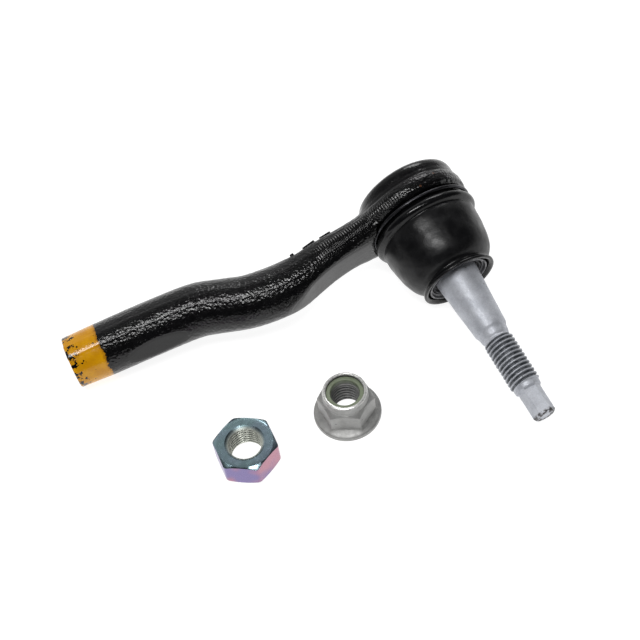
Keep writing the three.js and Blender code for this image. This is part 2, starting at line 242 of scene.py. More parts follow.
def flowing(points, step=0.4):
    """A smooth line through points."""
    points = np.array(points, float)
    padded = np.vstack([2 * points[0] - points[1], points, 2 * points[-1] - points[-2]])
    line = []
    for a, b, c, d in zip(padded, padded[1:], padded[2:], padded[3:]):
        count = max(2, math.ceil(np.linalg.norm(c - b) / step))
        for t in np.arange(count) / count:
            bend = (2 * a - 5 * b + 4 * c - d) * t**2 + (3 * b - a - 3 * c + d) * t**3
            line.append(0.5 * (2 * b + (c - a) * t + bend))
    return np.vstack([line, points[-1:]])


def arc(centre_r, centre_z, radius, start, end, count):
    """Points on a round stretch of a profile, from one angle in degrees to another."""
    angle = np.radians(np.linspace(start, end, count))
    return np.stack([centre_r + radius * np.cos(angle), centre_z + radius * np.sin(angle)], -1)


def rings(radius, height, columns):
    """Rings of points about Z, from a radius and height for each ring, or for each of its columns."""
    angle = np.arange(columns) * TURN / columns
    radius, height = (np.array(v, float).reshape(len(v), -1) for v in (radius, height))
    radius, height, angle = np.broadcast_arrays(radius, height, angle)
    return np.stack([radius * np.cos(angle), radius * np.sin(angle), height], -1)


def turned(profile, columns=160):
    profile = np.array(profile, float)
    return rings(profile[:, 0], profile[:, 1], columns)


def finished_mesh(mesh, sharp_degrees):
    """Turns every face outwards and shades it smooth, apart from edges sharper than sharp_degrees."""
    work = bmesh.new()
    work.from_mesh(mesh)
    bmesh.ops.recalc_face_normals(work, faces=work.faces)
    for face in work.faces:
        face.smooth = True
    limit = math.radians(sharp_degrees)
    for edge in work.edges:
        edge.smooth = edge.calc_face_angle(0) < limit
    work.to_mesh(mesh)
    work.free()


def in_scene(name, data):
    thing = bpy.data.objects.new(name, data)
    bpy.context.scene.collection.objects.link(thing)
    return thing


def solid(name, points, place, wrap=True, sharp_degrees=35, scale=MM):
    """A closed solid through rings of points. The last ring joins the first one, or both are capped."""
    rows, columns, _ = points.shape
    row = np.arange(rows if wrap else rows - 1)[:, None]
    column = np.arange(columns)[None, :]
    beside = (column + 1) % columns
    above = (row + 1) % rows
    here, there = row * columns, above * columns
    quads = np.stack([here + column, here + beside, there + beside, there + column], -1)
    faces = quads.reshape(-1, 4).tolist()
    vertices = points.reshape(-1, 3)
    if not wrap:
        for end in (0, rows - 1):
            vertices = np.vstack([vertices, points[end].mean(0)])
            tip = len(vertices) - 1
            faces += [[end * columns + j, end * columns + (j + 1) % columns, tip] for j in range(columns)]
    mesh = bpy.data.meshes.new(name)
    mesh.from_pydata((vertices * scale).tolist(), [], faces)
    mesh.transform(place)
    finished_mesh(mesh, sharp_degrees)
    return in_scene(name, mesh)


def marked(piece, **marks):
    """Keeps numbers for the points of a solid's rings, by name. The points that cap its ends get 0."""
    for name, values in marks.items():
        padded = np.zeros(len(piece.data.vertices), np.float32)
        padded[: values.size] = values.ravel()
        piece.data.attributes.new(name, "FLOAT", "POINT").data.foreach_set("value", padded)
    return piece


def with_modifier(piece, kind, **settings):
    """The mesh that piece has once it is changed by a modifier."""
    modifier = piece.modifiers.new(kind, kind)
    for key, value in settings.items():
        setattr(modifier, key, value)
    evaluated = piece.evaluated_get(bpy.context.evaluated_depsgraph_get())
    mesh = bpy.data.meshes.new_from_object(evaluated)
    piece.modifiers.clear()
    return mesh


def positions(mesh):
    points = np.zeros(len(mesh.vertices) * 3)
    mesh.vertices.foreach_get("co", points)
    return points.reshape(-1, 3)


def thread_radius(phase, thread, flat=0.09):
    """The radius at a phase of the pitch: a flat crest, straight flanks and a flat root."""
    from_crest = np.abs((phase + 0.5) % 1 - 0.5)
    rise = np.clip((from_crest - flat) / (0.5 - 2.2 * flat), 0, 1)
    return thread["major"] + (thread["minor"] - thread["major"]) * rise


def hexagon(across, columns):
    """The radius of a hexagon with a corner on +X, for each column."""
    angle = (np.arange(columns) * TURN / columns) % (TURN / 6) - TURN / 12
    return across / 2 / np.cos(angle)


def threaded_bore(thread, top, bottom, columns):
    """Ring radii and heights down a threaded hole from top to bottom, fading out at both ends."""
    count = math.ceil((top - bottom) / thread["pitch"] * THREAD_ROWS)
    height = np.linspace(top, bottom, count + 1)[:, None]
    turn = np.arange(columns)[None, :] / columns
    radius = thread_radius(height / thread["pitch"] - turn, thread)
    fade = np.minimum(step_up(height, bottom, bottom + 0.8), 1 - step_up(height, top - 0.8, top))
    return thread["minor"] + (radius - thread["minor"]) * (0.25 + 0.75 * fade), np.repeat(height, columns, 1)


# Forging ------------

def table_of_sections():
    """The arm's sections at every 0.1 mm of its run, smooth through the stations."""
    stations = np.array(ARM_STATIONS, float)
    x = stations[:, 0]
    along = np.arange(x[0], x[-1], 0.1)
    columns = [along]
    for values in stations[:, 1:].T:
        slopes = np.gradient(values, x)
        slopes[1:-1] = (values[2:] - values[:-2]) / (x[2:] - x[:-2])
        i = np.clip(np.searchsorted(x, along, "right") - 1, 0, len(x) - 2)
        span = x[i + 1] - x[i]
        t = (along - x[i]) / span
        columns.append(
            (2 * t**3 - 3 * t**2 + 1) * values[i]
            + (t**3 - 2 * t**2 + t) * slopes[i] * span
            + (3 * t**2 - 2 * t**3) * values[i + 1]
            + (t**3 - t**2) * slopes[i + 1] * span
        )
    end = [ARM_END[0] + 4, ARM_END[2] - 0.33, ARM_END_R + 0.1, ARM_END_R + 0.1, 12]
    return np.vstack([np.array(columns).T, end])


SECTIONS = table_of_sections()
ARM_DIRECTION = ARM_END - np.array([ARM_STATIONS[-1][0], 0, ARM_STATIONS[-1][1]])
ARM_DIRECTION /= np.linalg.norm(ARM_DIRECTION)


def section_at(x, column):
    return np.interp(x, SECTIONS[:, 0], SECTIONS[:, column])


def arm_coordinates(points):
    """How far along the arm each point is, and its distance from the centreline in the bend plane."""
    x = points[:, 0].copy()
    for _ in range(4):
        slope = (section_at(x + 0.2, 1) - section_at(x - 0.2, 1)) / 0.4
        x += ((points[:, 0] - x) + (points[:, 2] - section_at(x, 1)) * slope) / (1 + slope**2)
        x = np.clip(x, SECTIONS[0, 0], SECTIONS[-1, 0])
    length = np.sqrt(1 + slope**2)
    across = ((points[:, 2] - section_at(x, 1)) - (points[:, 0] - x) * slope) / length
    return x, across


def join(a, b, reach):
    """The union of two fields, with a fillet of about reach."""
    h = np.clip(0.5 + 0.5 * (b - a) / reach, 0, 1)
    return b + (a - b) * h - reach * h * (1 - h)


def overlap(a, b, reach):
    return -join(-a, -b, reach)


def outline_distance(r, z, outline):
    """Distance from a closed outline, negative inside it."""
    nearest = np.full(r.shape, np.inf)
    inside = np.zeros(r.shape, bool)
    for (ra, za), (rb, zb) in zip(outline, np.roll(outline, -1, axis=0)):
        er, ez = rb - ra, zb - za
        t = np.clip(((r - ra) * er + (z - za) * ez) / (er * er + ez * ez + 1e-12), 0, 1)
        nearest = np.minimum(nearest, np.hypot(r - ra - t * er, z - za - t * ez))
        if za != zb:
            inside ^= ((za > z) != (zb > z)) & (r < ra + er * (z - za) / ez)
    return np.where(inside, -nearest, nearest)


SOCKET_OUTLINE = eased([
    (-5, MOUTH_Z), (17, MOUTH_Z), (MOUTH_FLANGE_R, 3.2), (MOUTH_FLANGE_R, 2.2), (GROOVE_R, 2),
    (GROOVE_R, GROOVE_Z), (20.6, GROOVE_Z - 0.2), (SOCKET_R, -6.4), (SOCKET_R + 0.1, -9.6),
    (SOCKET_R - 0.1, -11.4), (20.95, -12.1), (20.8, -16.6), (20.2, -18.2), (RIM_R, RIM_Z),
    (-5, RIM_Z),
], 0.7, step=30)

# Wrench flat: the middle of its length, its reach each way, its depth and its lean about the arm
WRENCH_FLAT = {"x": 114, "reach": 12.5, "depth": 0.8, "tilt": math.radians(18)}
# Plain raised bars on the arm's -Z flat: where each one starts and ends along the arm
BARS = [(34.2, 39.2), (40.8, 46.4), (50.6, 52.2)]
BAR_Y = -6.1  # the bars stand to one side of the arm's middle
BAR_HALF_WIDTH = 0.8
BAR_HEIGHT = 0.75


def flat_height(x, across, y):
    """How far a point lies outside the drafted flats and the wrench flat."""
    drafted = np.abs(across) - section_at(x, 4)
    flat = WRENCH_FLAT
    depth = flat["depth"] * (1 - ((x - flat["x"]) / flat["reach"]) ** 2)
    ground = across * math.cos(flat["tilt"]) - y * math.sin(flat["tilt"]) - (section_at(x, 2) - depth)
    return drafted, np.where(np.abs(x - flat["x"]) < flat["reach"], ground, -1)


def arm_field(points):
    """About how far points lie outside the arm, negative inside it."""
    x, across = arm_coordinates(points)
    half, tall = section_at(x, 2), section_at(x, 3)
    reach = np.hypot(across / half, points[:, 1] / tall)
    arm = (reach - 1) * np.minimum(half, tall)
    drafted, ground = flat_height(x, across, points[:, 1])
    arm = overlap(arm, drafted, 0.9)
    arm = overlap(arm, ground, 0.25)
    arm = overlap(arm, (points - ARM_END) @ ARM_DIRECTION, 0.4)
    return overlap(arm, SECTIONS[0, 0] - points[:, 0], 0.5)


def socket_field(points):
    return outline_distance(np.hypot(points[:, 0], points[:, 1]), points[:, 2], SOCKET_OUTLINE)


def forging_field(points):
    fillet = 0.3 + 4.2 * step_up(-points[:, 2], 5.6, 9.5)
    return join(arm_field(points), socket_field(points), fillet)


def field_slope(points, field):
    slope = np.zeros_like(points)
    for axis, nudge in enumerate(0.03 * np.eye(3)):
        slope[:, axis] = (field(points + nudge) - field(points - nudge)) / 0.06
    return slope


def settled(points, field, passes=4):
    """Points moved onto the field's surface, and the direction that faces out of it at each one."""
    start = points
    for _ in range(passes):
        slope = field_slope(points, field)
        size = np.clip((slope**2).sum(1), 0.1, None)
        points = points - slope * (np.clip(field(points), -1, 1) / size)[:, None]
    astray = np.linalg.norm(points - start, axis=1) > STRAY_LIMIT
    points[astray] = start[astray]
    slope = field_slope(points, field)
    return points, slope / np.linalg.norm(slope, axis=1)[:, None].clip(0.1)


def forged_skin(points):
    """How far the rough skin stands off the plain surface, and what the paint needs to know about it.

    worked is how smooth the skin is, sheared where the flash was trimmed into short ridges along Z, and
    run how far round the trimmed edge a point lies.
    """
    x, across = arm_coordinates(points)
    radius = np.hypot(points[:, 0], points[:, 1])
    on_socket = step_up(24 - radius, -1, 1)
    around = (TURN / 4 - np.abs(np.arctan2(points[:, 1], points[:, 0]))) * SOCKET_R
    run = on_socket * around + (1 - on_socket) * (x + 2)
    height = on_socket * (points[:, 2] - PARTING_Z) + (1 - on_socket) * across
    off_middle = np.abs(height + 0.3 * noise(points, 5, 3)) - 0.9 * (1 - on_socket)
    band = 1 - step_up(off_middle, 1.7, 2.4)
    facing = points[:, 0] / radius.clip(1)
    near = on_socket * step_up(facing, 0.2, 0.5) + (1 - on_socket) * (1 - step_up(x, 38, 48))
    side = on_socket + (1 - on_socket) * step_up(np.abs(points[:, 1]), 6, 8)
    land = band * side
    torn = step_up(noise(points * np.array([1, 1, 0.3]), 1.6, 6), -0.1, 0.8)
    groove = np.exp(-(((height - 2.3) / 0.5) ** 2)) * side * np.maximum(near, 0.6 * on_socket)
    # Skin that was pressed or turned smooth
    drafted, ground = flat_height(x, across, points[:, 1])
    on_flat = (1 - on_socket) * np.maximum(step_up(drafted, -0.35, -0.12), step_up(ground, -0.3, -0.05))
    lower = on_socket * step_up(-points[:, 2], 11.6, 12.4)
    painted = step_up((points - ARM_END) @ ARM_DIRECTION, -PAINTED_LENGTH - 1, -PAINTED_LENGTH + 0.5)
    worked = np.clip(0.85 * on_flat + 0.6 * lower + 0.75 * painted, 0, 0.9)
    skin = 0.08 * noise(points, 15, 11) + 0.025 * noise(points, 5, 12)
    skin += (1 - worked) * (0.03 * noise(points, 2.1, 13) + 0.05 * noise(points, 1.05, 14))
    skin += land * (0.16 + 0.1 * near)
    skin -= (0.1 + 0.35 * on_socket) * groove * (0.3 + torn) * (1 - step_up(x, 30, 40))
    skin -= 0.06 * lower * np.exp(-(((points[:, 2] + 14.3) / 0.5) ** 2))
    inside = step_up(points[:, 2], GROOVE_Z - 0.3, GROOVE_Z + 0.1) * on_socket
    return skin * (1 - inside), {"worked": worked, "sheared": land * near * (1 - inside), "run": run}


def bore_cutter():
    """The threaded hole up the arm, as the solid that is cut out of it."""
    columns = 120
    flare = COUNTERSINK_R - ARM_BORE_R
    radius, height = threaded_bore(ARM_THREAD, -flare, -ARM_BORE_DEPTH + 2, columns)
    drill = [(ARM_BORE_R, -ARM_BORE_DEPTH), (0.2, -ARM_BORE_DEPTH - 3.5)]
    top = rings([COUNTERSINK_R, COUNTERSINK_R], [1, 0], columns)
    bottom = rings(*zip(*drill), columns)
    points = np.concatenate([top, rings(radius, height, columns), bottom])
    towards = Vector(ARM_DIRECTION).to_track_quat("Z", "Y").to_matrix().to_4x4()
    return solid("bore_cutter", points, Matrix.Translation(ARM_END) @ towards, wrap=False, scale=1)


def bead_cutter():
    """The turned recess round the boot's bead, where it passes the arm."""
    inner, outer = GROOVE_R + 0.02, BEAD_R + 0.5
    floor = GROOVE_Z - 0.05
    profile = eased([(inner, floor), (outer, floor), (outer, 1.9), (inner, 1.9)], 0.15, 5)
    return solid("bead_cutter", turned(profile), Matrix.Identity(4), scale=1)


def raised_bar(start, end):
    """A plain bar with softened edges that stands on the arm's -Z flat."""
    middle, half = (start + end) / 2, (end - start) / 2
    slope = (section_at(middle + 0.2, 1) - section_at(middle - 0.2, 1)) / 0.4
    width = BAR_HALF_WIDTH
    outline = eased([(half, width), (-half, width), (-half, -width), (half, -width)], 0.3)
    surface = section_at(middle, 4)
    rows = []
    for inset, depth in ((0, -1.5), (0, BAR_HEIGHT - 0.2), (0.06, BAR_HEIGHT - 0.06), (0.2, BAR_HEIGHT)):
        shrink = 1 - inset / np.array([half, width])
        level = np.full(len(outline), -surface - depth)
        rows.append(np.column_stack([outline * shrink + (0, BAR_Y), level]))
    lean = Matrix.Rotation(-math.atan(slope), 4, "Y")
    place = Matrix.Translation((middle, 0, section_at(middle, 1))) @ lean
    return solid("raised_bar", np.array(rows), place, wrap=False, scale=1)


def socket_cutter():
    """The socket's bore, its counterbore and the rolled lip, as the solid that is cut out."""
    lip = PLATE_BOTTOM_Z - 0.3
    profile = [
        (0.2, MOUTH_Z + 1), (MOUTH_R + 0.5, MOUTH_Z + 1), (MOUTH_R + 0.5, MOUTH_Z),
        (MOUTH_R, MOUTH_Z - 0.5), (BORE_R, 2.8), (BORE_R, SHOULDER_Z), (COUNTERBORE_R, SHOULDER_Z),
        (COUNTERBORE_R, lip), (ROLLED_LIP_R + 0.3, lip), (ROLLED_LIP_R, lip - 0.25),
        (ROLLED_LIP_R + 0.35, RIM_Z + 0.25), (ROLLED_LIP_R + 1.4, RIM_Z - 1), (0.2, RIM_Z - 1),
    ]
    return solid("socket_cutter", turned(profile), Matrix.Identity(4), wrap=False, scale=1)


def forging():
    """Blanks of the arm and socket, joined, settled onto the true surface, roughened, barred and cut."""
    x = np.linspace(SECTIONS[0, 0], ARM_END[0] - 0.2, 90)
    angle = np.arange(48) * TURN / 48
    slope = (section_at(x + 0.2, 1) - section_at(x - 0.2, 1)) / 0.4
    lean = slope / np.sqrt(1 + slope**2)
    upright = 1 / np.sqrt(1 + slope**2)
    flat = section_at(x, 4)[:, None]
    side = np.clip(section_at(x, 2)[:, None] * np.cos(angle), -flat, flat)
    tube = np.stack(
        [
            x[:, None] - side * lean[:, None],
            section_at(x, 3)[:, None] * np.sin(angle),
            section_at(x, 1)[:, None] + side * upright[:, None],
        ],
        -1,
    )
    arm = solid("arm_blank", tube, Matrix.Identity(4), wrap=False, scale=1)
    outline = SOCKET_OUTLINE[SOCKET_OUTLINE[:, 0] > 0]
    blank = solid("forging_blank", turned(outline, 96), Matrix.Identity(4), wrap=False, scale=1)
    blank.data = with_modifier(blank, "BOOLEAN", operation="UNION", solver="MANIFOLD", object=arm)
    blank.data = with_modifier(blank, "REMESH", mode="VOXEL", voxel_size=SKIN_VOXEL)
    points, outward = settled(positions(blank.data), forging_field)
    skin, marks = forged_skin(points)
    points += outward * skin[:, None]
    blank.data.vertices.foreach_set("co", points.ravel())
    marked(blank, **marks)
    tools = [(raised_bar(*bar), "UNION") for bar in BARS]
    tools += [(cutter(), "DIFFERENCE") for cutter in (bead_cutter, bore_cutter, socket_cutter)]
    for tool, operation in tools:
        blank.data = with_modifier(blank, "BOOLEAN", operation=operation, solver="MANIFOLD", object=tool)
        bpy.data.objects.remove(tool)
    bpy.data.objects.remove(arm)
    blank.data.transform(ROD @ Matrix.Scale(MM, 4))
    finished_mesh(blank.data, 50)
    blank.name = "forging"
    return blank


# Stud ------------

def stud():
    """Ball, neck, taper, rolled thread and hexagonal tip in one turning."""
    columns = 240
    neck_angle = math.degrees(math.acos(NECK_R / BALL_R))
    shank = eased([
        *arc(0, 0, BALL_R, neck_angle - 4, neck_angle, 2),
        (NECK_R, 11.5), (7.2, 14), (TAPER_BIG_R - 0.3, 18), (TAPER_BIG_R, 20),
        (TAPER_BIG_R, TAPER_Z), (TAPER_SMALL_R + 0.1, TAPER_END_Z), (6.0, TAPER_END_Z + 1.3),
        (5.75, TAPER_END_Z + 3.4), (5.35, TAPER_END_Z + 4.2), (5.3, STUD_THREAD_Z),
    ], 0.9, step=0.7, closed=False)
    tip = eased([
        (5.35, STUD_THREAD_END_Z), (5.25, STUD_THREAD_END_Z + 1.2),
        (4.95, STUD_THREAD_END_Z + 3.6), (4.72, STUD_THREAD_END_Z + 6), (4.7, TIP_Z - 0.9),
        (3.9, TIP_Z), (0.1, TIP_Z),
    ], 0.25, step=0.25, closed=False)
    start, end, thread = STUD_THREAD_Z, STUD_THREAD_END_Z, STUD_THREAD
    count = math.ceil((end - start) / thread["pitch"] * THREAD_ROWS)
    height = np.linspace(start, end, count)[:, None]
    crest = thread_radius(height / thread["pitch"] - np.arange(columns)[None, :] / columns, thread)
    fade = np.minimum(step_up(height, start, start + 1.5), 1 - step_up(height, end - 1.1, end))
    depth = (0.2 + 0.8 * (thread["major"] - crest) / (thread["major"] - thread["minor"])) * fade
    crest = 5.3 + (crest - 5.3) * fade
    ball = arc(0, 0, BALL_R, -89.5, neck_angle - 6, 60)
    round_part = np.vstack([ball, shank])
    radius = np.vstack([np.repeat(round_part[:, :1], columns, 1), crest, np.repeat(tip[:, :1], columns, 1)])
    level = np.vstack([round_part[:, 1:], height, tip[:, 1:]])
    flats = hexagon(STUD_HEX_ACROSS, columns)
    scoop = np.clip((HEX_Z + 0.9 - level) / 1.1, 0, None) ** 2 * 1.4
    radius = np.where(level > end, np.minimum(radius, flats + scoop), radius)
    points = rings(radius, level, columns)
    flat_points = points.reshape(-1, 3)
    dents = 0.05 * noise(flat_points, 4, 21) + 0.02 * noise(flat_points, 1.1, 22)
    dents = dents.reshape(radius.shape) * step_up(level, 15, 20) * (radius > 1)
    points[:, :, :2] *= (1 + dents / radius.clip(1))[:, :, None]
    piece = solid("ball_stud_piece", points, ROD, wrap=False, sharp_degrees=28)
    groove = np.zeros_like(radius)
    groove[len(round_part) : len(round_part) + len(depth)] = depth
    worn = step_up(level, TIP_Z - 1.5, TIP_Z - 0.6) * (radius > 2)
    return marked(piece, groove=groove, worn=worn)


# Boot and its rings ------------

def boot_profiles():
    """The boot's outer and inner faces from the clamp groove up to the lip."""
    foot = eased([
        (18.8, GROOVE_Z + 0.1), (19.6, GROOVE_Z + 0.15), (CLAMP_GROOVE_R, GROOVE_Z + 0.7),
        (CLAMP_GROOVE_R, BEAD_Z - 2.7), (20.6, BEAD_Z - 2.2),
    ], 0.3, step=0.3, closed=False)
    bead = arc(BEAD_R - 1.9, BEAD_Z, 1.9, -72, 62, 18)
    dome = flowing([
        (20.55, 2.15), (20.15, 2.65), (20.3, 3.5), (20.3, 5), (20, 8.5), (19.6, 12), (18.9, 16.2),
        (17.6, 20), (15.9, 22.4), (14.5, 23.6), (14.0, 24.3), (14.2, 25.1), (15.1, 25.7),
        (LIP_R, 26.2), (15.3, 26.8), (14.7, LIP_Z), (14.0, 26.85),
    ])
    outside = np.vstack([foot, bead, dome])
    inside = eased([
        (13.3, LIP_Z - 1.1), (12.9, 23.8), (TAPER_BIG_R + 1.1, 23.8), (TAPER_BIG_R + 0.3, 23.2),
        (TAPER_BIG_R + 0.3, 21), (TAPER_BIG_R + 1.9, 20.2), (14.2, 19.4), (16, 17.2), (17, 14.5),
        (17.7, 11), (18.1, 7), (18.4, 4.8), (19.5, 3.6), (19.5, 1.9), (18.5, 1.6), (18.5, -4.8),
    ], 0.5, step=0.6, closed=False)
    return outside, inside


def cut_at(profile, height, keep_below):
    """The part of a profile on one side of a height, ending exactly on it."""
    above = profile[:, 1] > height
    i = int(np.flatnonzero(above[1:] != above[:-1])[0])
    t = (height - profile[i, 1]) / (profile[i + 1, 1] - profile[i, 1])
    crossing = profile[i] + t * (profile[i + 1] - profile[i])
    if above[0] == keep_below:
        return np.vstack([crossing, profile[i + 1 :]])
    return np.vstack([profile[: i + 1], crossing])


def rubber(points):
    """Soft dents in the moulding, deepest on the dome."""
    shape = points.shape
    flat = points.reshape(-1, 3)
    radius = np.hypot(flat[:, 0], flat[:, 1])
    height = flat[:, 2]
    on_dome = step_up(height, 3, 7) * (1 - step_up(height, 22, 24))
    outer = step_up(radius, 9.5, 13)
    give = on_dome * (0.3 * noise(flat, 11, 31) + 0.11 * noise(flat, 4.6, 32))
    give += step_up(height, 24.5, 26) * 0.12 * noise(flat, 7, 33)
    give += 0.03 * noise(flat, 2.4, 34)
    flat[:, :2] *= (1 + outer * give / radius)[:, None]
    return flat.reshape(shape)


def boot():
    """The boot in two pieces: the bell below BOOT_SPLIT_Z and the neck above it."""
    outside, inside = boot_profiles()
    parts = {}
    for name, below in (("boot_bell", True), ("boot_neck", False)):
        outer = cut_at(outside, BOOT_SPLIT_Z, below)
        inner = cut_at(inside, BOOT_SPLIT_Z, below)
        parts[name] = solid(name, rubber(turned(np.vstack([outer, inner]), 200)), ROD, sharp_degrees=60)
    return parts["boot_bell"], parts["boot_neck"]


def coil(name, ring_r, ring_z, coil_r, wire_r, turns, sides=8, steps=12):
    """A closed coil spring: wire wound round a ring."""
    t = np.arange(turns * steps) / steps
    around, wound = t / turns * TURN, t * TURN

    def wire_at(offset):
        r = ring_r + offset * np.cos(wound)
        return np.stack([r * np.cos(around), r * np.sin(around), ring_z + offset * np.sin(wound)], -1)

    centre = wire_at(coil_r)
    outward = wire_at(coil_r + 1) - centre
    along = np.roll(centre, -1, 0) - np.roll(centre, 1, 0)
    along /= np.linalg.norm(along, axis=1)[:, None]
    sideways = np.cross(along, outward)
    sideways /= np.linalg.norm(sideways, axis=1)[:, None]
    outward = np.cross(sideways, along)
    angle = np.arange(sides) * TURN / sides
    section = outward[:, None] * np.cos(angle)[:, None] + sideways[:, None] * np.sin(angle)[:, None]
    return solid(name, centre[:, None] + wire_r * section, ROD, sharp_degrees=80)


def garter_spring():
    return coil("garter_coil", ring_r=10.1, ring_z=24.7, coil_r=0.4, wire_r=0.13, turns=150)


def clamp_ring():
    """A round wire sprung into the boot's groove, with its two ends just apart on the far side."""
    steps = np.arange(240)
    angle = np.radians(np.linspace(96, 444, len(steps)))
    sides = np.arange(16) * TURN / 16
    swell = np.sqrt(np.clip(np.minimum(steps, steps[::-1]) / 2, 0, 1))
    wire = CLAMP_WIRE_R * np.clip(swell, 0.15, 1)[:, None]
    radius = CLAMP_RING_R + wire * np.cos(sides)
    height = CLAMP_Z + wire * np.sin(sides)
    points = np.stack([radius * np.cos(angle)[:, None], radius * np.sin(angle)[:, None], height], -1)
    return solid("boot_clamp_wire", points, ROD, wrap=False, sharp_degrees=60)


def lip_ring():
    profile = [(11, 24.1), (12.3, 24.1), (12.6, 25.3), (12.6, 26.2), (11.9, 26.2), (11.6, 25), (11, 25)]
    return solid("boot_lip_ring", turned(eased(profile, 0.2, 0.4)), ROD)


def closure():
    """The pressed plate that closes the socket, with a dished middle and a raised ring."""
    edge = COUNTERBORE_R - 0.3
    profile = eased([
        (0.1, PLATE_TOP_Z + 0.3), (11, PLATE_TOP_Z + 0.3), (12.5, PLATE_TOP_Z),
        (edge, PLATE_TOP_Z), (edge, PLATE_BOTTOM_Z), (13.3, PLATE_BOTTOM_Z),
        (12.0, PLATE_BOTTOM_Z + 0.75), (6.4, PLATE_BOTTOM_Z + 0.75), (5.8, PLATE_BOTTOM_Z + 0.4),
        (5.0, PLATE_BOTTOM_Z + 0.4), (4.4, PLATE_BOTTOM_Z + 0.75), (0.1, PLATE_BOTTOM_Z + 0.75),
    ], 0.35, step=0.5, closed=False)
    return solid("closure_disc", turned(profile), ROD, wrap=False)


# Nuts ------------

def level_rows(levels):
    """A row for each ring, from a number or from an array with a number for each column."""
    return np.array([np.broadcast_to(np.asarray(level, float), NUT_COLUMNS) for level in levels])


def nut_solid(name, outside, thread, top, bottom, underside, place, sharp_degrees):
    """A nut whose surface runs up the outside, down the threaded bore and back along the underside.

    outside and underside hold a radius and a height for each ring. groove marks how deep a point lies in
    the thread and bore which points are in the hole.
    """
    bore, bore_z = threaded_bore(thread, top, bottom, NUT_COLUMNS)
    first, last = ([level_rows(values) for values in zip(*part)] for part in (outside, underside))
    radius, height = np.vstack([first[0], bore, last[0]]), np.vstack([first[1], bore_z, last[1]])
    piece = solid(name, rings(radius, height, NUT_COLUMNS), place, sharp_degrees=sharp_degrees)
    depth = (bore - thread["minor"]) / (thread["major"] - thread["minor"])
    before, after = 0 * first[0], 0 * last[0]
    groove = np.vstack([before, depth, after])
    return marked(piece, groove=groove, bore=np.vstack([before, np.ones_like(bore), after]))


def jam_nut():
    """A chamfered hexagon nut. Each column of the grid climbs the wall, bevel, face, bore and back."""
    wall = hexagon(JAM_ACROSS, NUT_COLUMNS)
    wall = wall - 0.25 * step_up(wall, 12.35, 12.7)  # worn corners
    face_r = JAM_ACROSS / 2 - 0.35
    drop = np.clip(wall - face_r, 0, None) * math.tan(math.radians(30)) + 0.06
    outline = [
        (face_r, 0), (wall - 0.06, drop - 0.03), (wall, drop + 0.08), (wall, JAM_HEIGHT / 2),
        (wall, JAM_HEIGHT - drop - 0.08), (wall - 0.06, JAM_HEIGHT - drop + 0.03),
        (face_r + 0.05, JAM_HEIGHT - 0.02), (face_r - 0.1, JAM_HEIGHT), (9.2, JAM_HEIGHT),
        (7.7, JAM_HEIGHT), (7.5, JAM_HEIGHT - 0.12),
    ]
    tail = [(7.5, 0.12), (7.7, 0), (9.2, 0)]
    return nut_solid("jam_nut_piece", outline, JAM_THREAD, JAM_HEIGHT - 0.9, 0.9, tail, JAM, 26)


def flange_nut():
    """A flange nut with a collar rolled over its nylon ring."""
    hexagonal = hexagon(LOCK_ACROSS, NUT_COLUMNS)
    slope = math.tan(math.radians(16))
    meets = 2.15 + (FLANGE_R - 0.5 - hexagonal) * slope
    hex_top = LOCK_HEIGHT - 0.8
    drop = np.clip(hexagonal - 9.4, 0, None) * math.tan(math.radians(38))
    outline = [
        (11.8, 0), (FLANGE_R - 0.5, 0), (FLANGE_R - 0.12, 0.15), (FLANGE_R, 0.5), (FLANGE_R, 1.3),
        (FLANGE_R - 0.15, 1.75), (FLANGE_R - 0.5, 2.05), (FLANGE_R - 1.0, 2.25),
        (hexagonal + 0.35, meets + 0.1), (hexagonal + 0.08, meets + 0.35), (hexagonal, meets + 0.7),
        (hexagonal, hex_top - 0.5 - drop), (hexagonal - 0.15, hex_top - 0.25 - drop), (9.25, hex_top),
        (COLLAR_R + 0.15, hex_top + 0.25), (COLLAR_R, hex_top + 0.7), (COLLAR_R, COLLAR_HEIGHT - 1.2),
        (COLLAR_R - 0.15, COLLAR_HEIGHT - 0.6), (COLLAR_R - 0.45, COLLAR_HEIGHT - 0.18),
        (COLLAR_R - 0.85, COLLAR_HEIGHT), (NYLON_R + 0.25, COLLAR_HEIGHT - 0.12),
        (NYLON_R, COLLAR_HEIGHT - 0.45), (NYLON_R + 0.25, COLLAR_HEIGHT - 0.75),
        (NYLON_R + 0.3, NYLON_SEAT_Z), (6.5, NYLON_SEAT_Z), (6.2, NYLON_SEAT_Z - 0.1),
    ]
    tail = [(6.6, 0.1), (6.9, 0)]
    return nut_solid("flange_nut_piece", outline, LOCK_THREAD, NYLON_SEAT_Z - 0.7, 1.5, tail, LOCK, 30)


def nylon_ring():
    top = LOCK_HEIGHT + 1.6
    seat = NYLON_SEAT_Z + 0.1
    profile = [(NYLON_BORE_R, seat), (NYLON_R, seat), (NYLON_R, top), (NYLON_BORE_R + 0.3, top)]
    profile.append((NYLON_BORE_R, top - 0.4))
    return solid("nylon_ring", turned(eased(profile, 0.3, 0.3), 120), LOCK)


# Materials ------------

